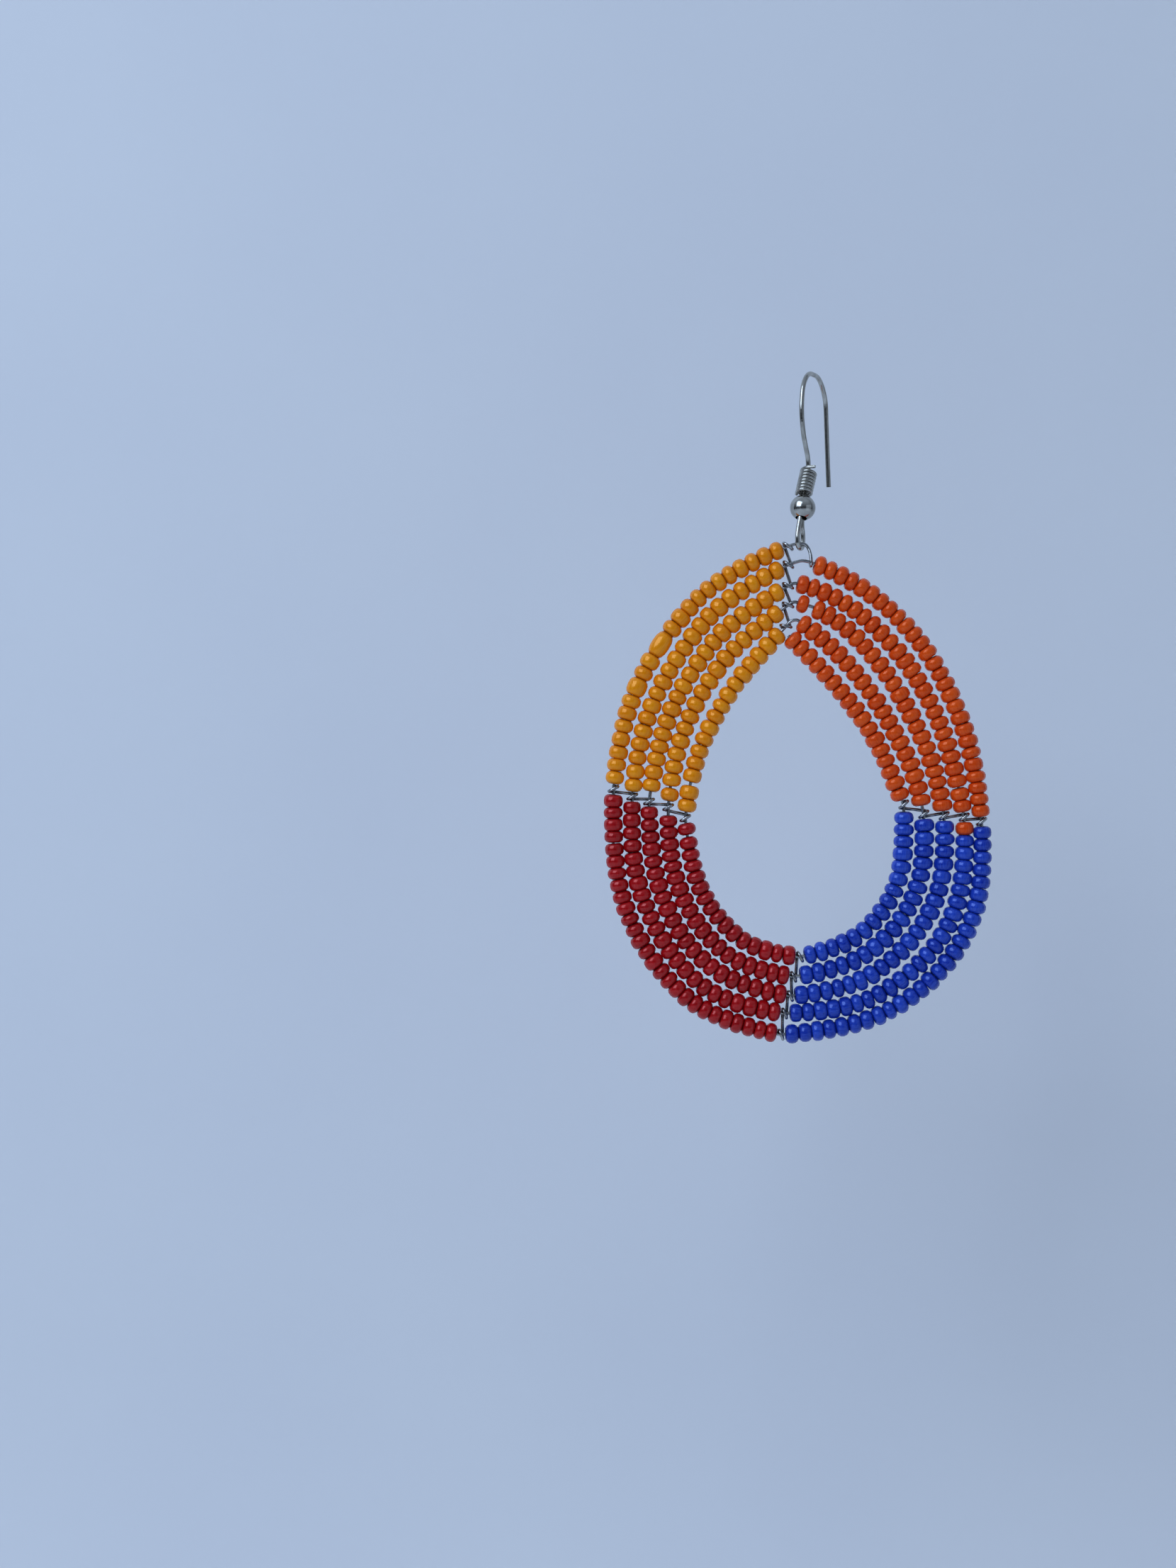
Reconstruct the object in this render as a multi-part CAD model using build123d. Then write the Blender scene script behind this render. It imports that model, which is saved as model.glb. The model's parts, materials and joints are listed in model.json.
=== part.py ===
from build123d import *
import os
from math import acos, cos, degrees, hypot, pi, radians, sin, tan

# A drop earring: strings of seed beads in five rows on one spiral of wire, tied across
# in four places, hanging from a hook that carries a small ball and a coil.
# Millimetres. +X is the viewer's right, -Y is the front, +Z is up.
# The origin is the underside of the top of the hook's arch, where an ear carries it.

# Wires and beads
FRAME_WIRE = 0.40
HOOK_WIRE = 0.60
COIL_WIRE = 0.40
STRING_DIAMETER = 2.06
STRING_BORE = 0.72
BALL_DIAMETER = 3.15
CLEARANCE = 0.08

# The hook, drawn in its own upright plane as (back, up) from the middle of the
# wire at the bottom of its loop. The plane is turned away from the front view.
HOOK_TURN = 28.0
LOOP_POINTS = [(0.95, 1.60), (0.72, 0.0), (-0.72, 0.0), (-0.90, 1.70)]
SHANK_LOW = (-0.20, 3.30)
SHANK_BEND = (1.05, 6.66)
SHANK_HIGH = (3.10, 10.40)
ARCH_HEIGHT = 22.0
ARCH_FRONT = (2.60, ARCH_HEIGHT)
ARCH_BACK = (6.20, ARCH_HEIGHT)
ARCH_POINTS = [
    (0.90, 14.30),
    (0.35, 17.30),
    (0.90, 20.30),
    ARCH_FRONT,
    ARCH_BACK,
    (8.30, 19.60),
    (8.70, 14.50),
    (9.30, 8.60),
]

# The ball sits over both strands of the loop; the loop's wire ends inside it
STRAND_SPACING = 0.68
BALL_ALONG_SHANK = 2.02
WIRE_END_ABOVE_BALL_MIDDLE = 0.90

# The coil is wound round the shank, above the bend
COIL_WIDTH = 2.17
COIL_START = 0.20
COIL_TURNS = 7.25
COIL_PITCH = 0.46
COIL_CORNERS = 8
COIL_TAIL = 1.20

# The drop, drawn as (right, up) from its middle. Row 1 is the outermost.
HANG_POINT = (0.35, 33.28)
ROWS = 5

# Where each tie crosses the rows, from row 1 to row 5
TIES = {
    "top": [(-1.15, 32.97), (-1.10, 30.70), (-1.15, 28.10), (-1.15, 25.75), (-1.40, 23.15)],
    "right": [(22.60, -0.80), (20.45, -0.25), (18.00, -0.10), (15.50, 0.10), (13.05, 1.30)],
    "bottom": [(-2.00, -26.95), (-1.55, -24.35), (-0.85, -22.20), (-0.45, -19.85), (0.35, -17.40)],
    "left": [(-22.55, 3.20), (-20.25, 2.25), (-18.20, 1.65), (-15.85, 0.95), (-13.75, -0.40)],
}
# Half the length of row that a tie covers while it crosses the front of the row
TIE_RISE = {"top": 0.34, "right": 0.33, "bottom": 0.25, "left": 0.32}
# The ties are wound inwards at the top and left, and outwards at the right and bottom
TIES_INWARDS = ("top", "left")
TIE_REACH = 0.54
TIE_END = 0.20
ROW_BEND_AT_TIE = 0.25

# Bare wire from the top tie to the orange strings. The last point is where beads start.
ORANGE_LEADS = {
    1: [(-0.35, 30.97), (0.52, 31.23), (1.57, 31.06), (2.10, 30.80)],
    2: [(-0.35, 28.50)],
    3: [(-0.45, 26.20)],
    4: [(-1.04, 23.58), (-0.57, 23.90), (0.00, 23.95)],
    5: [(-1.00, 21.90)],
}
SPIRAL_START = 0.15

# The four blocks in the order that the spiral runs, and the ties that they lie between
BLOCKS = {
    "orange": ("top", "right"),
    "blue": ("right", "bottom"),
    "red": ("bottom", "left"),
    "yellow": ("left", "top"),
}
# Each string's corners. Share is of the angle between its ties, and each row has its
# distance from the middle of the drop.
SHAPE_COLUMNS = ("share", "row 1", "row 2", "row 3", "row 4", "row 5")
SHAPES = {
    "orange": [
        (0.12, 29.71, 27.66, 25.20, 21.46, 18.60),
        (0.35, 26.45, 23.91, 20.95, 17.60, 14.98),
        (0.57, 23.84, 21.37, 18.44, 15.60, 13.32),
        (0.79, 22.75, 20.26, 17.90, 15.35, 12.58),
    ],
    "blue": [
        (0.20, 24.51, 21.94, 19.28, 16.52, 13.46),
        (0.40, 25.87, 23.40, 20.48, 17.78, 14.90),
        (0.60, 26.67, 24.16, 21.39, 18.84, 16.13),
        (0.80, 27.06, 24.81, 22.33, 19.71, 17.17),
    ],
    "red": [
        (0.20, 27.27, 24.97, 22.31, 19.95, 17.47),
        (0.40, 25.71, 23.36, 21.10, 18.64, 16.26),
        (0.60, 24.34, 21.91, 19.61, 17.34, 15.13),
        (0.80, 23.11, 20.95, 18.60, 16.35, 14.05),
    ],
    "yellow": [
        (0.20, 23.87, 21.24, 18.71, 16.33, 13.71),
        (0.40, 25.55, 22.70, 20.10, 17.47, 14.49),
        (0.60, 27.73, 24.83, 22.10, 19.38, 15.90),
        (0.80, 30.91, 28.18, 25.31, 22.43, 18.73),
    ],
}
# Wire left bare beside a string, past the tie's own room: (at its start, at its end)
EXTRA_BARE = {
    ("orange", 2): (0.35, 0.0),
    ("orange", 3): (0.50, 0.0),
    ("orange", 4): (0.30, 0.45),
    ("blue", 2): (0.0, 0.10),
    ("blue", 4): (0.0, 0.25),
    ("blue", 5): (0.30, 0.0),
    ("red", 1): (0.05, 0.10),
    ("red", 2): (0.05, 0.0),
    ("red", 3): (0.05, 0.0),
    ("red", 4): (0.10, 0.40),
    ("red", 5): (0.10, 0.0),
    ("yellow", 1): (0.0, 0.10),
    ("yellow", 2): (0.0, 0.20),
    ("yellow", 3): (0.65, 0.20),
    ("yellow", 4): (0.15, 0.45),
    ("yellow", 5): (0.20, 0.25),
}

# The arch over the drop, as (right, up, depth): its foot passes in front of the bare
# wire below it and is turned up behind
ARCH_OVER_DROP = [
    (-1.04, 33.01, 0.0),
    (-0.15, 33.28, 0.0),
    (0.98, 33.28, 0.0),
    (1.46, 32.55, 0.0),
    (1.64, 31.60, -0.52),
    (1.66, 30.52, -0.52),
    (1.66, 30.52, 0.52),
    (1.62, 31.30, 0.52),
]


# Places in the part's frame

UP = Vector(0, 0, 1)
BACK = Vector(sin(radians(HOOK_TURN)), cos(radians(HOOK_TURN)), 0)
SIDE = Vector(cos(radians(HOOK_TURN)), -sin(radians(HOOK_TURN)), 0)
ARCH_MIDDLE = (ARCH_FRONT[0] + ARCH_BACK[0]) / 2
LOOP_BOTTOM = BACK * -ARCH_MIDDLE - UP * (ARCH_HEIGHT - HOOK_WIRE / 2)
HINGE = LOOP_BOTTOM + UP * (HOOK_WIRE / 2 + CLEARANCE + FRAME_WIRE / 2)


def hook_point(back, up):
    return LOOP_BOTTOM + BACK * back + UP * up


def drop_point(right, up, depth=0.0):
    return HINGE + Vector(right - HANG_POINT[0], depth, up - HANG_POINT[1])


SHANK = (hook_point(*SHANK_BEND) - hook_point(*SHANK_LOW)).normalized()
BEHIND_SHANK = SHANK.cross(SIDE).normalized()
BALL_MIDDLE = hook_point(*SHANK_LOW) + SHANK * BALL_ALONG_SHANK + BEHIND_SHANK * (STRAND_SPACING / 2)


# Paths of straight runs and tangent arcs

def turn_angle(before, corner, after):
    return 180 - (before - corner).get_angle(after - corner)


def corner_radii(points):
    """The radius at each corner whose arc takes up 0.45 of the shorter run beside it."""
    radii = []
    for before, corner, after in zip(points, points[1:], points[2:]):
        shorter_run = min((before - corner).length, (after - corner).length)
        radii.append(0.45 * shorter_run / tan(radians(turn_angle(before, corner, after) / 2)))
    return radii


def rounded(points):
    return FilletPolyline(*points, radius=corner_radii(points))


def wire_along(path, diameter, bore=0.0):
    """A round wire along a path, or a tube if it has a bore."""
    start = Plane(origin=path @ 0, z_dir=path % 0)
    section = start * Circle(diameter / 2)
    if bore:
        section -= start * Circle(bore / 2)
    return sweep(section, path=path)


# The hook, its ball and its coil

def ear_hook():
    """Wire end inside the ball, down round the loop, up the shank and over the arch."""
    wire_end = BALL_MIDDLE + BEHIND_SHANK * (STRAND_SPACING / 2) + SHANK * WIRE_END_ABOVE_BALL_MIDDLE
    strand_low = hook_point(*SHANK_LOW) + BEHIND_SHANK * STRAND_SPACING
    points = [wire_end, strand_low]
    points += [hook_point(*point) for point in LOOP_POINTS]
    points += [hook_point(*SHANK_LOW), hook_point(*SHANK_BEND), hook_point(*SHANK_HIGH)]
    points += [hook_point(*point) for point in ARCH_POINTS]
    return wire_along(rounded(points), HOOK_WIRE)


def hook_ball():
    hole = STRAND_SPACING + HOOK_WIRE + 2 * CLEARANCE
    axis = Plane(origin=BALL_MIDDLE, z_dir=SHANK)
    return axis * (Sphere(BALL_DIAMETER / 2) - Cylinder(hole / 2, BALL_DIAMETER))


def hook_coil():
    """A close winding round the shank whose last end sticks out to the right."""
    foot = hook_point(*SHANK_BEND)
    axis = (hook_point(*SHANK_HIGH) - foot).normalized()
    behind = axis.cross(SIDE)
    step = 360 / COIL_CORNERS
    corner_radius = (COIL_WIDTH - COIL_WIRE) / 2 / cos(radians(step / 2))
    corners = round(COIL_TURNS * COIL_CORNERS)
    points = []
    for index in range(corners + 1):
        angle = radians(270 + (index - corners) * step)
        height = COIL_START + COIL_PITCH * index / COIL_CORNERS
        around = SIDE * cos(angle) + behind * sin(angle)
        points.append(foot + axis * height + around * corner_radius)
    points.append(points[-1] + SIDE * COIL_TAIL)
    return wire_along(rounded(points), COIL_WIRE)


# The rows

def clock_angle(point):
    """Degrees from straight up, clockwise as the viewer sees it."""
    right, up = point
    angle = degrees(acos(up / hypot(right, up)))
    return angle if right >= 0 else 360 - angle


def towards(start, target, distance):
    return start + (target - start).normalized() * distance


def bare_length(tie):
    return TIE_RISE[tie] + FRAME_WIRE / 2 + CLEARANCE


def string_points(colour, row):
    """Corners of a string's centre line, with its two ends."""
    first_tie, last_tie = BLOCKS[colour]
    from_lead = colour == "orange"
    start = ORANGE_LEADS[row][-1] if from_lead else TIES[first_tie][row - 1]
    end = TIES[last_tie][row - 1]
    first_angle = clock_angle(start)
    if from_lead and first_angle > 180:
        first_angle -= 360
    corners = []
    for station in SHAPES[colour]:
        angle = radians(first_angle + (clock_angle(end) - first_angle) * station[0])
        distance = station[SHAPE_COLUMNS.index(f"row {row}")]
        corners.append(drop_point(distance * sin(angle), distance * cos(angle)))
    extra_start, extra_end = EXTRA_BARE.get((colour, row), (0.0, 0.0))
    start_bare = extra_start if from_lead else bare_length(first_tie) + extra_start
    end_bare = bare_length(last_tie) + extra_end
    string_start = towards(drop_point(*start), corners[0], start_bare)
    string_end = towards(drop_point(*end), corners[-1], end_bare)
    return [string_start] + corners + [string_end]


def bead_string(colour, row):
    """A tube in place of a string of beads, bored for the row's wire."""
    points = string_points(colour, row)
    path = rounded(points)
    tube = wire_along(path, STRING_DIAMETER, STRING_BORE)
    section = (STRING_DIAMETER**2 - STRING_BORE**2) * pi / 4
    radii = " ".join(f"{radius:.1f}" for radius in corner_radii(points))
    print(f"beads_{colour}_{row}: radii {radii}, volume over section x length "
          f"{tube.volume / (section * path.length):.4f}")
    return tube


def row_wire():
    """One spiral, from its inner end to the outer row's last tie, through every string."""
    points = []
    bends = []
    for row in range(ROWS, 0, -1):
        if row == ROWS:
            first_bead, first_corner = string_points("orange", row)[:2]
            points.append(towards(first_bead, first_corner, -SPIRAL_START))
        else:
            for lead in ORANGE_LEADS[row]:
                points.append(drop_point(*lead))
                bends.append(0.45 * (points[-1] - points[-2]).length)
        for colour, (_, last_tie) in BLOCKS.items():
            string = string_points(colour, row)
            for before, corner, after in zip(string, string[1:], string[2:]):
                points.append(corner)
                bends.append(0.45 * min((before - corner).length, (after - corner).length))
            points.append(drop_point(*TIES[last_tie][row - 1]))
            bends.append(ROW_BEND_AT_TIE)
    radii = []
    for before, corner, after, bend in zip(points, points[1:], points[2:], bends):
        radii.append(bend / tan(radians(turn_angle(before, corner, after) / 2)))
    return wire_along(FilletPolyline(*points, radius=radii), FRAME_WIRE)


def arch_over_drop():
    points = [drop_point(*point) for point in ARCH_OVER_DROP]
    return wire_along(rounded(points), FRAME_WIRE)


# The ties

def row_direction(tie, row):
    """Direction in which the spiral passes a tie."""
    for colour, (first_tie, last_tie) in BLOCKS.items():
        if last_tie == tie:
            before = string_points(colour, row)[-2]
        if first_tie == tie:
            after = string_points(colour, row)[1]
    if tie == "top":
        after = drop_point(*(ORANGE_LEADS[row - 1][0] if row > 1 else ARCH_OVER_DROP[1]))
    return (after - before).normalized()


def tie_wire(tie):
    """A wire that takes one slanted turn round each row and runs on behind the rows."""
    inwards = tie in TIES_INWARDS
    rows = range(1, ROWS + 1) if inwards else range(ROWS, 0, -1)
    points = []
    for row in rows:
        middle = drop_point(*TIES[tie][row - 1])
        rise = row_direction(tie, row) * (1 if inwards else -1)
        across = Vector(rise.Z, 0, -rise.X)
        behind = Vector(0, TIE_REACH, 0)
        high = middle + rise * TIE_RISE[tie]
        low = middle - rise * TIE_RISE[tie]
        if not points:
            points.append(high - across * TIE_END + behind)
        points.append(high + across * TIE_REACH + behind)
        points.append(high + across * TIE_REACH - behind)
        points.append(low - across * TIE_REACH - behind)
        points.append(low - across * TIE_REACH + behind)
    points.append(low + across * TIE_END + behind)
    return wire_along(rounded(points), FRAME_WIRE)


# All pieces

PIECES = {
    "ear_hook": ear_hook(),
    "hook_ball": hook_ball(),
    "hook_coil": hook_coil(),
    "row_wire": row_wire(),
    "top_arch": arch_over_drop(),
}
for tie_name in TIES:
    PIECES[f"tie_{tie_name}"] = tie_wire(tie_name)
for colour_name in BLOCKS:
    for row_number in range(1, ROWS + 1):
        PIECES[f"beads_{colour_name}_{row_number}"] = bead_string(colour_name, row_number)

os.makedirs("parts", exist_ok=True)
for node_name, piece in PIECES.items():
    export_step(piece, f"parts/{node_name}.step")
print(f"hinge at {HINGE.X:.3f}, {HINGE.Y:.3f}, {HINGE.Z:.3f}")
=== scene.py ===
# %% [markdown]
# A drop earring of glass seed beads. Five rows of beads run round an open teardrop on one
# spiral of wire, four short wires tie the rows together, and an ear hook with a coil and a
# small ball carries it. The hard pieces come from the CAD model, which is loaded first and
# stays where it is. The lesson adds the separate beads, the finishes, the light and the camera.

import json
import random
from math import acos, cos, degrees, hypot, pi, radians, sin

import bmesh
import bpy
from mathutils import Matrix, Vector


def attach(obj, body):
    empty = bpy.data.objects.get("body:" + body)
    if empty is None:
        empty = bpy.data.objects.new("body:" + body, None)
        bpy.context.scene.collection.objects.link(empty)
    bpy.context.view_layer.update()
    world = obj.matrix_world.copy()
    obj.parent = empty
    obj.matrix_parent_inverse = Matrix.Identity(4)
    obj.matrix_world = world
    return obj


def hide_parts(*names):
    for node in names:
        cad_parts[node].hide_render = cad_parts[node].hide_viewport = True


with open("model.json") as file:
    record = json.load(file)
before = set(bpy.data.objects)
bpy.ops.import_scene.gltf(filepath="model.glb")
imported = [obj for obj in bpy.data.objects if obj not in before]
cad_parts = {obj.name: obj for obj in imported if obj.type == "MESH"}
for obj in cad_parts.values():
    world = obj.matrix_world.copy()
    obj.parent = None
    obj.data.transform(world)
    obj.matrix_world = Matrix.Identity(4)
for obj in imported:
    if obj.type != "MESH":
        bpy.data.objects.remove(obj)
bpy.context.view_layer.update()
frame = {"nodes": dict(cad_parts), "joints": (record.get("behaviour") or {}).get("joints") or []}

# %% [markdown]
# The sizes are the part's own, in millimetres, and every point is turned into metres where it
# is used. A point of the drop is given as right and up from the drop's middle. HANG_POINT is
# where the drop hangs, so the joint's place in the model fixes all the others.

# %% Sizes of the wires, beads and drop
MM = 0.001
FRAME_WIRE = 0.40
CLEARANCE = 0.08
HANG_POINT = (0.35, 33.28)
HINGE = Vector(frame["joints"][0]["pos_m"])
ROWS = 5
# Where each tie crosses the rows, from row 1, the outermost, to row 5
TIES = {
    "top": [(-1.15, 32.97), (-1.10, 30.70), (-1.15, 28.10), (-1.15, 25.75), (-1.40, 23.15)],
    "right": [(22.60, -0.80), (20.45, -0.25), (18.00, -0.10), (15.50, 0.10), (13.05, 1.30)],
    "bottom": [(-2.00, -26.95), (-1.55, -24.35), (-0.85, -22.20), (-0.45, -19.85), (0.35, -17.40)],
    "left": [(-22.55, 3.20), (-20.25, 2.25), (-18.20, 1.65), (-15.85, 0.95), (-13.75, -0.40)],
}
# How far each tie's slanted turns reach along the row wire, to either side
TIE_RISE = {"top": 0.34, "right": 0.33, "bottom": 0.25, "left": 0.32}
# Where the orange strings start, past the bare wire that leaves the top tie
ORANGE_STARTS = [(2.10, 30.80), (-0.35, 28.50), (-0.45, 26.20), (0.00, 23.95), (-1.00, 21.90)]
# The first and the last tie of each colour
BLOCKS = {
    "orange": ("top", "right"),
    "blue": ("right", "bottom"),
    "red": ("bottom", "left"),
    "yellow": ("left", "top"),
}
# Shares of the angle from tie to tie, and each row's distance from the middle there
SHAPE_COLUMNS = ("share", "row 1", "row 2", "row 3", "row 4", "row 5")
SHAPES = {
    "orange": [
        (0.12, 29.71, 27.66, 25.20, 21.46, 18.60),
        (0.35, 26.45, 23.91, 20.95, 17.60, 14.98),
        (0.57, 23.84, 21.37, 18.44, 15.60, 13.32),
        (0.79, 22.75, 20.26, 17.90, 15.35, 12.58),
    ],
    "blue": [
        (0.20, 24.51, 21.94, 19.28, 16.52, 13.46),
        (0.40, 25.87, 23.40, 20.48, 17.78, 14.90),
        (0.60, 26.67, 24.16, 21.39, 18.84, 16.13),
        (0.80, 27.06, 24.81, 22.33, 19.71, 17.17),
    ],
    "red": [
        (0.20, 27.27, 24.97, 22.31, 19.95, 17.47),
        (0.40, 25.71, 23.36, 21.10, 18.64, 16.26),
        (0.60, 24.34, 21.91, 19.61, 17.34, 15.13),
        (0.80, 23.11, 20.95, 18.60, 16.35, 14.05),
    ],
    "yellow": [
        (0.20, 23.87, 21.24, 18.71, 16.33, 13.71),
        (0.40, 25.55, 22.70, 20.10, 17.47, 14.49),
        (0.60, 27.73, 24.83, 22.10, 19.38, 15.90),
        (0.80, 30.91, 28.18, 25.31, 22.43, 18.73),
    ],
}
# Extra bare wire before and after a string
EXTRA_BARE = {
    ("orange", 2): (0.35, 0.0),
    ("orange", 3): (0.50, 0.0),
    ("orange", 4): (0.30, 0.45),
    ("blue", 2): (0.0, 0.10),
    ("blue", 4): (0.0, 0.25),
    ("blue", 5): (0.30, 0.0),
    ("red", 1): (0.05, 0.10),
    ("red", 2): (0.05, 0.0),
    ("red", 3): (0.05, 0.0),
    ("red", 4): (0.10, 0.40),
    ("red", 5): (0.10, 0.0),
    ("yellow", 1): (0.0, 0.10),
    ("yellow", 2): (0.0, 0.20),
    ("yellow", 3): (0.65, 0.20),
    ("yellow", 4): (0.15, 0.45),
    ("yellow", 5): (0.20, 0.25),
}
print("blocks:", ", ".join(BLOCKS), "with", ROWS, "rows each")

# %% [markdown]
# Each string runs from one tie to the next. Its corners lie at shares of the angle between
# the two ties, each at its own distance from the drop's middle, and it starts and ends where
# the tie leaves room for a bead. This is the route that the wire takes in the CAD model, so
# the beads will sit on the wire from whichever side they are seen.

# %% The corners of each string
def drop_point(right, up):
    return HINGE + Vector((right - HANG_POINT[0], 0, up - HANG_POINT[1])) * MM


def clock_angle(point):
    """Degrees from straight up, clockwise as the viewer sees it."""
    right, up = point
    angle = degrees(acos(up / hypot(right, up)))
    return angle if right >= 0 else 360 - angle


def towards(start, target, distance):
    return start + (target - start).normalized() * distance * MM


def string_corners(colour, row):
    first_tie, last_tie = BLOCKS[colour]
    from_lead = colour == "orange"
    start = ORANGE_STARTS[row - 1] if from_lead else TIES[first_tie][row - 1]
    end = TIES[last_tie][row - 1]
    first_angle = clock_angle(start)
    if from_lead and first_angle > 180:
        first_angle -= 360
    corners = []
    for station in SHAPES[colour]:
        angle = radians(first_angle + (clock_angle(end) - first_angle) * station[0])
        distance = station[SHAPE_COLUMNS.index(f"row {row}")]
        corners.append(drop_point(distance * sin(angle), distance * cos(angle)))
    extra_start, extra_end = EXTRA_BARE.get((colour, row), (0.0, 0.0))
    tie_room = FRAME_WIRE / 2 + CLEARANCE
    start_bare = extra_start if from_lead else TIE_RISE[first_tie] + tie_room + extra_start
    end_bare = TIE_RISE[last_tie] + tie_room + extra_end
    string_start = towards(drop_point(*start), corners[0], start_bare)
    string_end = towards(drop_point(*end), corners[-1], end_bare)
    return [string_start] + corners + [string_end]


print("corners of a string:", len(string_corners("blue", 1)))

# %% [markdown]
# A wire bends smoothly, so the corners become the control points of a NURBS curve, which
# passes near each corner and never kinks. Blender turns the curve into a fine line of points,
# and a helper finds the place and the direction at any distance along that line.

# %% A smooth line through the corners
LINE_STEPS = 24
CURVE_ORDER = 3


def smooth_line(corners):
    curve = bpy.data.curves.new("string_line", "CURVE")
    curve.dimensions = "3D"
    curve.resolution_u = LINE_STEPS
    spline = curve.splines.new("NURBS")
    spline.points.add(len(corners) - 1)
    for point, corner in zip(spline.points, corners):
        point.co = (*corner, 1.0)
    spline.order_u = CURVE_ORDER
    spline.use_endpoint_u = True
    holder = bpy.data.objects.new("string_line", curve)
    mesh = bpy.data.meshes.new_from_object(holder)
    line = [vertex.co.copy() for vertex in mesh.vertices]
    bpy.data.meshes.remove(mesh)
    bpy.data.objects.remove(holder)
    bpy.data.curves.remove(curve)
    return line


def line_length(line):
    return sum((after - before).length for before, after in zip(line, line[1:]))


def place_on(line, distance):
    """The point at a distance along the line, and the line's direction there."""
    for before, after in zip(line, line[1:]):
        step = (after - before).length
        if distance <= step or after is line[-1]:
            return before.lerp(after, distance / step), (after - before).normalized()
        distance -= step


LINES = {}
for colour in BLOCKS:
    for row in range(1, ROWS + 1):
        LINES[colour, row] = smooth_line(string_corners(colour, row))
total_length = sum(line_length(line) for line in LINES.values())
print("strings:", len(LINES), "beaded length, mm:", round(total_length / MM, 1))

# %% [markdown]
# A seed bead is a short piece of glass tube that was tumbled hot until its edges went round.
# A half profile from hole edge to hole edge, spun once round the hole, gives one. The profile
# is a superellipse, fuller than an ellipse and softer than a cylinder, whose tips are cut off
# flat where the next bead touches. Three of them, from rounder to fuller, keep the beads from
# looking alike. Each is one unit across its radius and one unit long, so a real bead is one
# of these scaled. They have few faces, because hundreds are strung, and smooth shading
# rounds them.

# %% Three shapes of glass bead
BEAD_SIDES = 10
PROFILE_STEPS = 6
ROUNDNESS = (2.3, 2.5, 2.8)
HOLE_RADIUS = 0.34
UNCUT_HALF_LENGTH = 0.56
MERGE_DISTANCE = 1e-5


def bead_template(power):
    bm = bmesh.new()
    first_sweep = degrees(acos((0.5 / UNCUT_HALF_LENGTH) ** (power / 2)))
    points = [(HOLE_RADIUS, -0.5)]
    for step in range(PROFILE_STEPS + 1):
        sweep = radians(first_sweep + (180 - 2 * first_sweep) * step / PROFILE_STEPS)
        along = UNCUT_HALF_LENGTH * abs(cos(sweep)) ** (2 / power)
        points.append((sin(sweep) ** (2 / power), -along if cos(sweep) > 0 else along))
    points.append((HOLE_RADIUS, 0.5))
    profile = [bm.verts.new((away, 0, along)) for away, along in points]
    edges = [bm.edges.new(pair) for pair in zip(profile, profile[1:] + profile[:1])]
    bmesh.ops.spin(bm, geom=profile + edges, cent=(0, 0, 0), axis=(0, 0, 1),
                   angle=2 * pi, steps=BEAD_SIDES, use_merge=True)
    bmesh.ops.remove_doubles(bm, verts=bm.verts, dist=MERGE_DISTANCE)
    bmesh.ops.recalc_face_normals(bm, faces=bm.faces)
    for face in bm.faces:
        face.smooth = True
    mesh = bpy.data.meshes.new("bead_template")
    bm.to_mesh(mesh)
    bm.free()
    return mesh


BEADS = [bead_template(power) for power in ROUNDNESS]
BEAD_FACES = len(BEADS[0].polygons)
print("bead shapes:", len(BEADS), "faces of one:", BEAD_FACES)

# %% [markdown]
# Seed beads are never quite alike. Each gets its own share of the string's length, a hair of
# tilt and a tone of its own. A few stand out on the real piece: two long beads in the outer
# yellow row, and short stretches of bare wire where a row is a little loose. Where rows run
# close together the beads are slightly thinner, so that each reaches past the middle between
# the two rows by less than a tenth of a millimetre and the cut can't be seen.

# %% String the beads
BEAD_RADIUS = 1.30
BEAD_COUNTS = {
    "orange": (27, 25, 22, 19, 17),
    "blue": (26, 24, 21, 18, 16),
    "red": (27, 23, 21, 19, 16),
    "yellow": (22, 21, 19, 17, 16),
}
# Beads that are longer than the others, as (place in the string, times as long)
LONG_BEADS = {("yellow", 1): [(10, 2.05), (7, 1.35)]}
# Bare wire inside a string, as (after which bead, millimetres)
BARE_PLACES = {
    ("orange", 2): [(22, 0.12)],
    ("orange", 3): [(0, 0.70)],
    ("red", 1): [(22, 0.12)],
    ("red", 5): [(14, 0.25)],
    ("yellow", 4): [(0, 0.22)],
    ("yellow", 5): [(1, 0.45)],
}
LENGTH_SPREAD = 0.07
RADIUS_SPREAD = 0.08
TILT_DEGREES = 5
NEIGHBOUR_OVERLAP = 0.09
RANDOM_SEED = 7

random.seed(RANDOM_SEED)


def room_beside(place, colour, row):
    """Half the distance from a place in one row to the nearest row beside it."""
    nearest = 1.0
    for other in (row - 1, row + 1):
        for point in LINES.get((colour, other), []):
            nearest = min(nearest, (point - place).length)
    return nearest / 2


def bead_places(colour, row):
    """Middle, direction, radius and length of every bead in a string, in metres."""
    line = LINES[colour, row]
    shares = [random.uniform(1 - LENGTH_SPREAD, 1 + LENGTH_SPREAD)
              for _ in range(BEAD_COUNTS[colour][row - 1])]
    for index, times in LONG_BEADS.get((colour, row), []):
        shares[index] *= times
    bare = dict(BARE_PLACES.get((colour, row), []))
    unit = (line_length(line) - sum(bare.values()) * MM) / sum(shares)
    places = []
    distance = 0.0
    for index, share in enumerate(shares):
        length = share * unit
        middle, direction = place_on(line, distance + length / 2)
        radius = BEAD_RADIUS * MM * random.uniform(1 - RADIUS_SPREAD, 1)
        radius = min(radius, room_beside(middle, colour, row) + NEIGHBOUR_OVERLAP * MM)
        places.append((middle, direction, radius, length))
        distance += length + bare.get(index, 0.0) * MM
    return places


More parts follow.
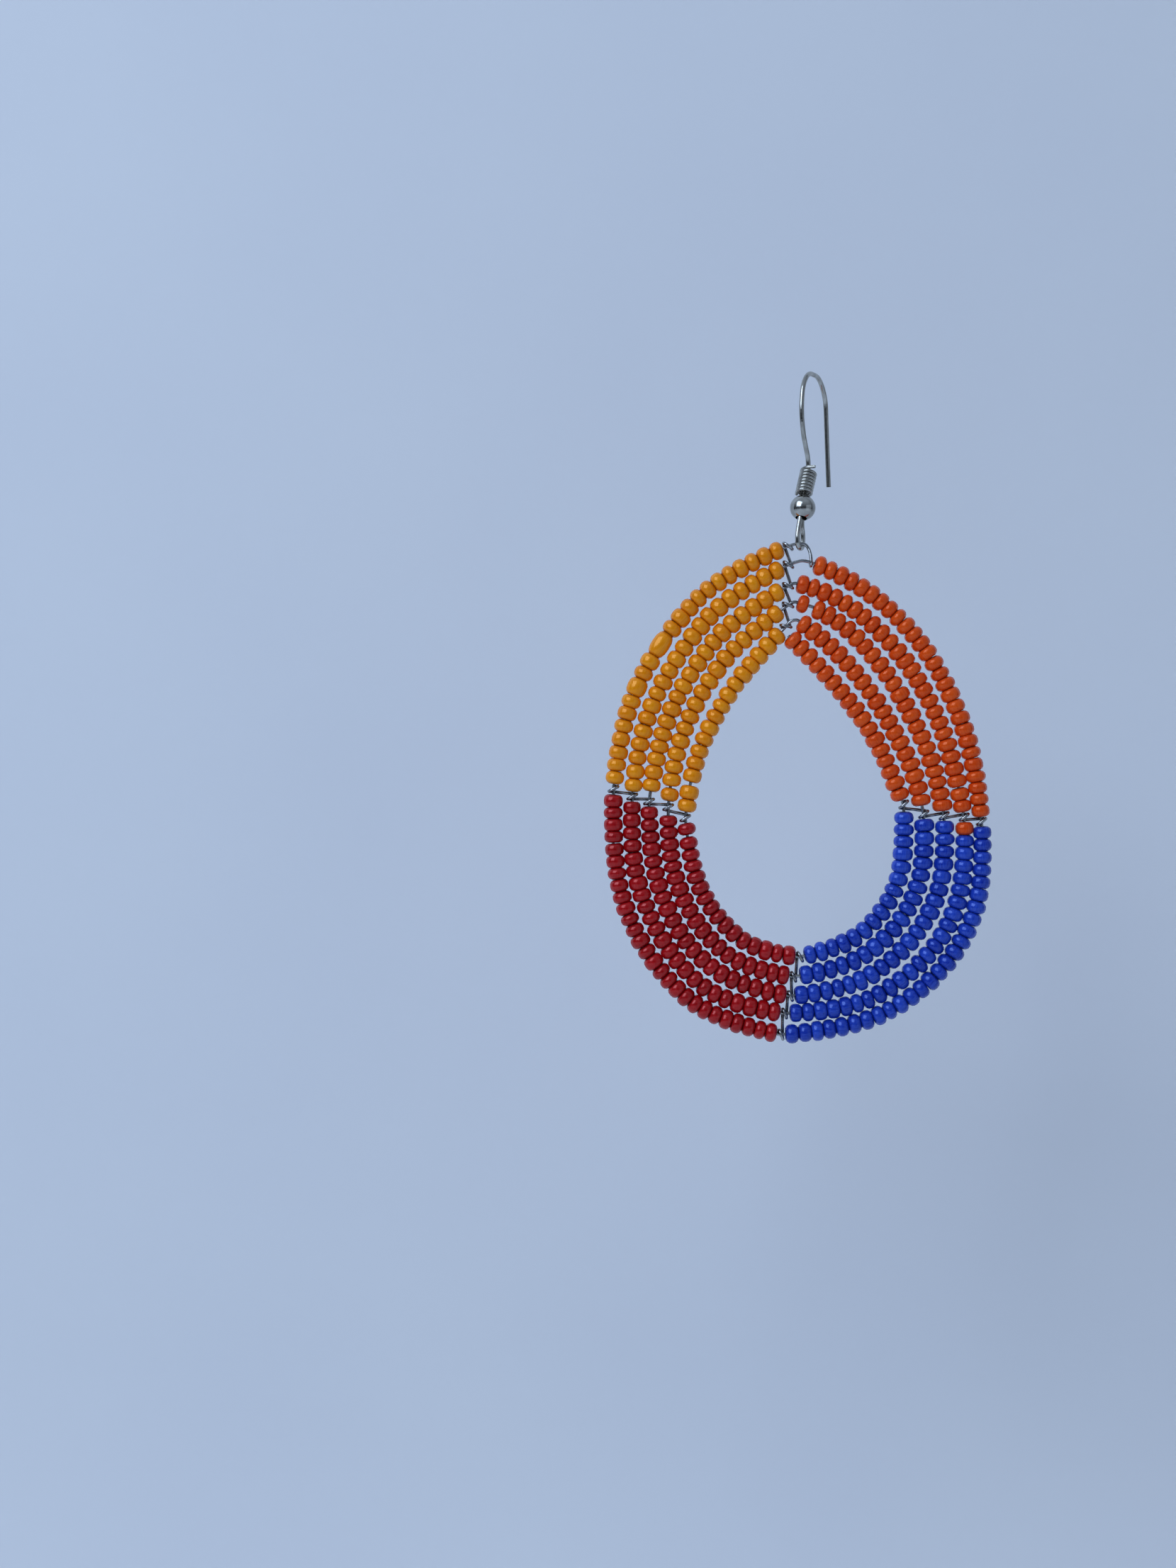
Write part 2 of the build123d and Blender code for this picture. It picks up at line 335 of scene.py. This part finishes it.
def add_beads(name, places):
    """One mesh of beads. It keeps each bead's tone and each point's place in its bead."""
    bm = bmesh.new()
    tone_layer = bm.verts.layers.float.new("tone")
    place_layer = bm.verts.layers.float_vector.new("place")
    for middle, direction, radius, length in places:
        first = len(bm.verts)
        bm.from_mesh(random.choice(BEADS))
        bm.verts.ensure_lookup_table()
        bead = bm.verts[first:]
        tone = random.uniform(-1, 1)
        for vertex in bead:
            vertex[tone_layer] = tone
            vertex[place_layer] = vertex.co
        turn = Matrix.Rotation(random.uniform(0, 2 * pi), 4, "Z")
        tilt = Matrix.Rotation(radians(random.uniform(-TILT_DEGREES, TILT_DEGREES)), 4, "X")
        facing = direction.to_track_quat("Z", "Y").to_matrix().to_4x4()
        size = Matrix.Diagonal((radius, radius, length, 1))
        matrix = Matrix.Translation(middle) @ facing @ turn @ tilt @ turn.inverted() @ size
        bmesh.ops.transform(bm, matrix=matrix, verts=bead)
    mesh = bpy.data.meshes.new(name)
    bm.to_mesh(mesh)
    bm.free()
    piece = bpy.data.objects.new(name, mesh)
    bpy.context.scene.collection.objects.link(piece)
    return piece


strung = {}
loose_orange = []
for colour, row in LINES:
    places = bead_places(colour, row)
    if (colour, row) == ("blue", 2):
        loose_orange = [places.pop(0)]
    piece = add_beads(f"{colour}_beads_{row}", places)
    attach(piece, "drop")
    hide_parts(f"beads_{colour}_{row}")
    strung[colour, row] = piece
stray_bead = add_beads("orange_bead_in_blue_2", loose_orange)
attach(stray_bead, "drop")
bead_total = sum(len(piece.data.polygons) for piece in strung.values()) // BEAD_FACES
print("beads strung:", bead_total + 1)

# %% [markdown]
# All the glass shares one set of effects, so they are a node group. Drawn glass has faint
# streaks along the hole, each bead comes from a slightly different batch, and the ends near
# the hole are duller than the tumbled outside and carry painted shade, darker where two beads
# meet. The group reads the place and tone that each bead carries and gives back a colour with
# that painted shade, a roughness and a fine surface unevenness.

# %% Node helpers
def add_node(tree, kind, inputs=None, **settings):
    node = tree.nodes.new(kind)
    for name, value in settings.items():
        setattr(node, name, value)
    for socket, value in (inputs or {}).items():
        if isinstance(value, bpy.types.NodeSocket):
            tree.links.new(value, node.inputs[socket])
        else:
            node.inputs[socket].default_value = value
    return node


def new_group(name, inputs, outputs):
    """A node group with named sockets. Returns the tree and its inner ends."""
    tree = bpy.data.node_groups.new(name, "ShaderNodeTree")
    for socket_name, kind in inputs.items():
        tree.interface.new_socket(socket_name, in_out="INPUT", socket_type=kind)
    for socket_name, kind in outputs.items():
        tree.interface.new_socket(socket_name, in_out="OUTPUT", socket_type=kind)
    return tree, tree.nodes.new("NodeGroupInput"), tree.nodes.new("NodeGroupOutput")


FLOAT = "NodeSocketFloat"
COLOR = "NodeSocketColor"
VECTOR = "NodeSocketVector"
FINISH_OUTPUTS = {"Color": COLOR, "Roughness": FLOAT, "Normal": VECTOR}


def mix_color(tree, factor, first, second):
    node = add_node(tree, "ShaderNodeMix", {0: factor, 6: first, 7: second}, data_type="RGBA")
    return node.outputs[2]


def map_range(tree, value, low, high, to_low=0.0, to_high=1.0):
    node = add_node(tree, "ShaderNodeMapRange",
                    {"Value": value, "From Min": low, "From Max": high,
                     "To Min": to_low, "To Max": to_high})
    return node.outputs[0]


def math_node(tree, operation, first, second):
    node = add_node(tree, "ShaderNodeMath", {0: first, 1: second}, operation=operation)
    return node.outputs[0]


def bump(tree, height, depth_mm):
    node = add_node(tree, "ShaderNodeBump", {"Height": height, "Distance": depth_mm * MM})
    return node.outputs["Normal"]


print("helpers ready")

# %% The glass group
# Noise values between these two spread over the whole range of an effect
NOISE_RANGE = (0.3, 0.7)
# How far apart two tones read the noise, so that no two beads have the same streaks
TONE_SHIFT = 40.0
TONE_SHARES = (0.2, 0.8)
STREAK_STRETCH = (5.0, 5.0, 0.7)
STREAK_SCALE = 1.6
STREAK_ROUGHNESS = (-0.04, 0.06)
# Distances from the bead's axis where the painted shade and the duller end begin and where they
# are at their full
HOLE_ZONE = (0.8, 0.45)
HOLE_SHADE = 0.8
HOLE_DULLNESS = 0.3
PIT_SCALE = 3.5
PIT_DEPTH = 0.02

glass, glass_in, glass_out = new_group(
    "drawn_glass",
    {"Light": COLOR, "Dark": COLOR, "Painted Shade": COLOR, "Roughness": FLOAT, "Streaks": FLOAT},
    FINISH_OUTPUTS,
)
place = add_node(glass, "ShaderNodeAttribute", attribute_name="place").outputs["Vector"]
tone = add_node(glass, "ShaderNodeAttribute", attribute_name="tone").outputs["Fac"]
own_piece = add_node(glass, "ShaderNodeVectorMath",
                     {0: place, 1: math_node(glass, "MULTIPLY", tone, TONE_SHIFT)},
                     operation="ADD")
streak_map = add_node(glass, "ShaderNodeMapping",
                      {"Vector": own_piece.outputs[0], "Scale": STREAK_STRETCH})
streak = add_node(glass, "ShaderNodeTexNoise",
                  {"Vector": streak_map.outputs[0], "Scale": STREAK_SCALE,
                   "Detail": 3.0}).outputs["Fac"]
streak_part = math_node(glass, "MULTIPLY", map_range(glass, streak, *NOISE_RANGE, -0.5, 0.5),
                        glass_in.outputs["Streaks"])
tone_part = map_range(glass, tone, -1.0, 1.0, *TONE_SHARES)
body_color = mix_color(glass, math_node(glass, "ADD", tone_part, streak_part),
                       glass_in.outputs["Dark"], glass_in.outputs["Light"])
across = add_node(glass, "ShaderNodeVectorMath", {0: place, 1: (1.0, 1.0, 0.0)},
                  operation="MULTIPLY")
from_axis = add_node(glass, "ShaderNodeVectorMath", {0: across.outputs[0]}, operation="LENGTH")
near_hole = map_range(glass, from_axis.outputs["Value"], *HOLE_ZONE)
# Painted shade: near the hole, where two beads meet, the colour is mixed towards the dark crevice
# colour
hole_shade = math_node(glass, "MULTIPLY", near_hole, HOLE_SHADE)
glass_color = mix_color(glass, hole_shade, body_color, glass_in.outputs["Painted Shade"])
dull_end = math_node(glass, "MULTIPLY", near_hole, HOLE_DULLNESS)
uneven = map_range(glass, streak, *NOISE_RANGE, *STREAK_ROUGHNESS)
glass_roughness = math_node(glass, "ADD", math_node(glass, "ADD", dull_end, uneven),
                            glass_in.outputs["Roughness"])
pits = add_node(glass, "ShaderNodeTexNoise",
                {"Vector": own_piece.outputs[0], "Scale": PIT_SCALE, "Detail": 2.0}).outputs["Fac"]
glass.links.new(glass_color, glass_out.inputs["Color"])
glass.links.new(glass_roughness, glass_out.inputs["Roughness"])
glass.links.new(bump(glass, pits, PIT_DEPTH), glass_out.inputs["Normal"])
print("glass group nodes:", len(glass.nodes))

# %% [markdown]
# The wires and the hook's parts are drawn steel. Bright wire is not evenly bright: handling
# leaves grey films, and drawing leaves fine lines. A second group mixes a film colour over
# the metal, varies the roughness with it, and gives the surface a slight waviness, so that
# reflections break up as they do on soft wire that was bent with pliers.

# %% The steel group
FILM_SCALE = 900.0
FILM_RANGE = (0.35, 0.7)
FILM_ROUGHNESS = 0.2
FINE_SCALE = 5000.0
FINE_ROUGHNESS = (-0.03, 0.05)
FINE_DEPTH = 0.006

steel, steel_in, steel_out = new_group(
    "drawn_steel",
    {"Metal": COLOR, "Film": COLOR, "Film Share": FLOAT, "Roughness": FLOAT},
    FINISH_OUTPUTS,
)
spot = add_node(steel, "ShaderNodeTexCoord").outputs["Object"]
film_noise = add_node(steel, "ShaderNodeTexNoise",
                      {"Vector": spot, "Scale": FILM_SCALE, "Detail": 4.0}).outputs["Fac"]
fine_noise = add_node(steel, "ShaderNodeTexNoise",
                      {"Vector": spot, "Scale": FINE_SCALE, "Detail": 2.0}).outputs["Fac"]
film_here = math_node(steel, "MULTIPLY", map_range(steel, film_noise, *FILM_RANGE),
                      steel_in.outputs["Film Share"])
steel_color = mix_color(steel, film_here, steel_in.outputs["Metal"], steel_in.outputs["Film"])
rougher = math_node(steel, "ADD", math_node(steel, "MULTIPLY", film_here, FILM_ROUGHNESS),
                    map_range(steel, fine_noise, *NOISE_RANGE, *FINE_ROUGHNESS))
steel.links.new(steel_color, steel_out.inputs["Color"])
steel.links.new(math_node(steel, "ADD", rougher, steel_in.outputs["Roughness"]),
                steel_out.inputs["Roughness"])
steel.links.new(bump(steel, fine_noise, FINE_DEPTH), steel_out.inputs["Normal"])
print("steel group nodes:", len(steel.nodes))

# %% [markdown]
# A finish is then one shader with one of the groups feeding its colour, roughness and normal.
# What is the same all over, such as how metallic a piece is, is set on the shader itself.

# %% Materials
def srgb(red, green, blue):
    """A linear colour from the 0 to 255 numbers of a screen colour."""
    shares = [value / 255 for value in (red, green, blue)]
    return (*[share / 12.92 if share <= 0.04045 else ((share + 0.055) / 1.055) ** 2.4
              for share in shares], 1.0)


def finish(name, group, inputs, constants):
    material = bpy.data.materials.new(name)
    material.use_nodes = True
    tree = material.node_tree
    shader = tree.nodes["Principled BSDF"]
    group_node = add_node(tree, "ShaderNodeGroup", node_tree=group)
    for socket, value in inputs.items():
        group_node.inputs[socket].default_value = value
    for output, socket in (("Color", "Base Color"), ("Roughness", "Roughness"),
                           ("Normal", "Normal")):
        tree.links.new(group_node.outputs[output], shader.inputs[socket])
    for socket, value in constants.items():
        shader.inputs[socket].default_value = value
    return material


# Light and dark batch of each glass, and the colour of its painted shade between two beads
GLASS_COLORS = {
    "orange": (srgb(240, 88, 22), srgb(218, 64, 12), srgb(112, 17, 4)),
    "blue": (srgb(40, 74, 190), srgb(15, 42, 153), srgb(2, 8, 76)),
    "red": (srgb(182, 16, 22), srgb(149, 6, 12), srgb(58, 1, 6)),
    "yellow": (srgb(254, 156, 18), srgb(241, 132, 8), srgb(134, 58, 2)),
}
# Colour and strength that each glass gives to its highlights
GLASS_SHINE = {
    "orange": (srgb(255, 165, 120), 0.8),
    "blue": (srgb(165, 192, 255), 0.7),
    "red": (srgb(255, 150, 145), 0.9),
    "yellow": (srgb(255, 195, 115), 1.0),
}
glass_finishes = {}
for colour, (light, dark, painted_shade) in GLASS_COLORS.items():
    glass_finishes[colour] = finish(
        f"{colour}_glass", glass,
        {"Light": light, "Dark": dark, "Painted Shade": painted_shade, "Roughness": 0.16, "Streaks": 0.8},
        {"Metallic": 0.0, "IOR": 1.6, "Specular IOR Level": GLASS_SHINE[colour][1],
         "Specular Tint": GLASS_SHINE[colour][0]},
    )
hook_finish = finish(
    "hook_steel_polished", steel,
    {"Metal": srgb(190, 187, 178), "Film": srgb(120, 117, 110), "Film Share": 0.5,
     "Roughness": 0.13},
    {"Metallic": 1.0},
)
wire_finish = finish(
    "frame_wire_bright", steel,
    {"Metal": srgb(182, 182, 180), "Film": srgb(84, 84, 86), "Film Share": 0.7,
     "Roughness": 0.15},
    {"Metallic": 1.0},
)
for (colour, row), piece in strung.items():
    piece.data.materials.append(glass_finishes[colour])
stray_bead.data.materials.append(glass_finishes["orange"])
print("materials:", ", ".join(sorted(material.name for material in bpy.data.materials)))

# %% [markdown]
# The hook, the ball, the coil, the spiral and the ties keep the shape they have in the CAD
# model. Only the material in their slots changes.

# %% Finishes for the CAD pieces
HOOK_NODES = ("ear_hook", "hook_ball", "hook_coil")
WIRE_NODES = ("row_wire", "top_arch", "tie_top", "tie_right", "tie_bottom", "tie_left")
for names, material in ((HOOK_NODES, hook_finish), (WIRE_NODES, wire_finish)):
    for name in names:
        for slot in frame["nodes"][name].material_slots:
            slot.material = material
print("CAD pieces with a new finish:", len(HOOK_NODES) + len(WIRE_NODES))

# %% [markdown]
# The stage is one plain pale sheet: a wall far enough behind that the drop can swing back,
# a round cove, and a floor well below. It starts as an L of three points, is extruded
# sideways, and its inner edge is bevelled into the cove. Its back is see-through, so that a
# view from behind still shows the earring.

# %% The stage
WALL_BEHIND = 75
FLOOR_BELOW = -260
STAGE_SIDE = 1200
COVE_RADIUS = 120
COVE_SEGMENTS = 16
MOTTLE_SCALE = 18.0
SHEET_ROUGHNESS = 0.85


def stage_sheet():
    bm = bmesh.new()
    outline = [(-STAGE_SIDE, -STAGE_SIDE, FLOOR_BELOW), (-STAGE_SIDE, WALL_BEHIND, FLOOR_BELOW),
               (-STAGE_SIDE, WALL_BEHIND, STAGE_SIDE)]
    points = [bm.verts.new(Vector(point) * MM) for point in outline]
    edges = [bm.edges.new(pair) for pair in zip(points, points[1:])]
    grown = bmesh.ops.extrude_edge_only(bm, edges=edges)["geom"]
    moved = [item for item in grown if isinstance(item, bmesh.types.BMVert)]
    bmesh.ops.translate(bm, verts=moved, vec=(2 * STAGE_SIDE * MM, 0, 0))
    inner = [edge for edge in bm.edges if len(edge.link_faces) == 2]
    bmesh.ops.bevel(bm, geom=inner, affect="EDGES", offset=COVE_RADIUS * MM,
                    segments=COVE_SEGMENTS, profile=0.5, material=-1)
    bm.normal_update()
    wall = max(bm.faces, key=lambda face: face.calc_center_median().z)
    if wall.normal.y > 0:
        bmesh.ops.reverse_faces(bm, faces=bm.faces)
    for face in bm.faces:
        face.smooth = True
    mesh = bpy.data.meshes.new("stage_sheet")
    bm.to_mesh(mesh)
    bm.free()
    sheet = bpy.data.objects.new("stage_sheet", mesh)
    bpy.context.scene.collection.objects.link(sheet)
    return sheet


def sheet_finish():
    material = bpy.data.materials.new("pale_sheet")
    material.use_nodes = True
    tree = material.node_tree
    shader = tree.nodes["Principled BSDF"]
    output = tree.nodes["Material Output"]
    spot = add_node(tree, "ShaderNodeTexCoord").outputs["Object"]
    mottle = add_node(tree, "ShaderNodeTexNoise",
                      {"Vector": spot, "Scale": MOTTLE_SCALE}).outputs["Fac"]
    color = mix_color(tree, map_range(tree, mottle, *NOISE_RANGE), SHEET_LIGHT, SHEET_DARK)
    tree.links.new(color, shader.inputs["Base Color"])
    shader.inputs["Roughness"].default_value = SHEET_ROUGHNESS
    back = add_node(tree, "ShaderNodeNewGeometry").outputs["Backfacing"]
    clear = add_node(tree, "ShaderNodeBsdfTransparent").outputs[0]
    both = add_node(tree, "ShaderNodeMixShader",
                    {0: back, 1: shader.outputs["BSDF"], 2: clear}).outputs[0]
    tree.links.new(both, output.inputs["Surface"])
    return material


SHEET_LIGHT = srgb(230, 231, 233)
SHEET_DARK = srgb(227, 228, 231)
sheet = stage_sheet()
sheet.data.materials.append(sheet_finish())
print("stage faces:", len(sheet.data.polygons))

# %% [markdown]
# The light is soft and comes from a large window-like panel high on the left, in front of
# the piece. A weak wide panel on the right keeps the shadows open, and a pale sky that is
# darker below gives the steel something to reflect.

# %% Light
SUBJECT = Vector((-2, -4, -41))
# Each panel: place from the subject, width and height, all in millimetres, then watts
PANELS = {
    "window": ((-460, -520, 460), (620, 620), 4.8),
    "fill": ((400, -300, -40), (500, 500), 0.3),
}
DAYLIGHT = (0.60, 0.745, 0.98)
SKY_DARK = (0.05, 0.06, 0.08, 1.0)
SKY_STRENGTH = 0.6

for name, (place_mm, (width, height), watts) in PANELS.items():
    light = bpy.data.lights.new(name, "AREA")
    light.shape = "RECTANGLE"
    light.size = width * MM
    light.size_y = height * MM
    light.energy = watts
    light.color = DAYLIGHT
    lamp = bpy.data.objects.new(name, light)
    lamp.location = (SUBJECT + Vector(place_mm)) * MM
    lamp.rotation_euler = (-Vector(place_mm)).to_track_quat("-Z", "Y").to_euler()
    bpy.context.scene.collection.objects.link(lamp)

world = bpy.data.worlds.new("soft_sky")
bpy.context.scene.world = world
world.use_nodes = True
sky = world.node_tree
direction = add_node(sky, "ShaderNodeTexCoord").outputs["Generated"]
height = add_node(sky, "ShaderNodeSeparateXYZ", {0: direction}).outputs["Z"]
shade = map_range(sky, height, 0.0, 1.0)
sky_color = mix_color(sky, shade, SKY_DARK, (*DAYLIGHT, 1.0))
sky.links.new(sky_color, sky.nodes["Background"].inputs["Color"])
sky.nodes["Background"].inputs["Strength"].default_value = SKY_STRENGTH
bpy.context.scene.view_settings.view_transform = "Standard"
print("lights:", ", ".join(PANELS))

# %% [markdown]
# The camera looks straight at the drop's plane, level, from a little over a quarter of a
# metre, with the frame placed as it is in the photograph. The vertical fit keeps the same
# view whatever the picture's width is.

# %% Camera
CAMERA_PLACE = (-28.1, -278.9, -50.6)
FRAME_HEIGHT = 192.4
CAMERA_DISTANCE = 275.0
SENSOR_HEIGHT = 24.0
CLIP_DISTANCES = (0.005, 10.0)

camera_data = bpy.data.cameras.new("photo_view")
camera_data.sensor_fit = "VERTICAL"
camera_data.sensor_height = SENSOR_HEIGHT
camera_data.lens = SENSOR_HEIGHT * CAMERA_DISTANCE / FRAME_HEIGHT
camera_data.clip_start, camera_data.clip_end = CLIP_DISTANCES
camera = bpy.data.objects.new("photo_view", camera_data)
camera.location = Vector(CAMERA_PLACE) * MM
camera.rotation_euler = (radians(90), 0, 0)
bpy.context.scene.collection.objects.link(camera)
bpy.context.scene.camera = camera
print("lens, mm:", round(camera_data.lens, 2))
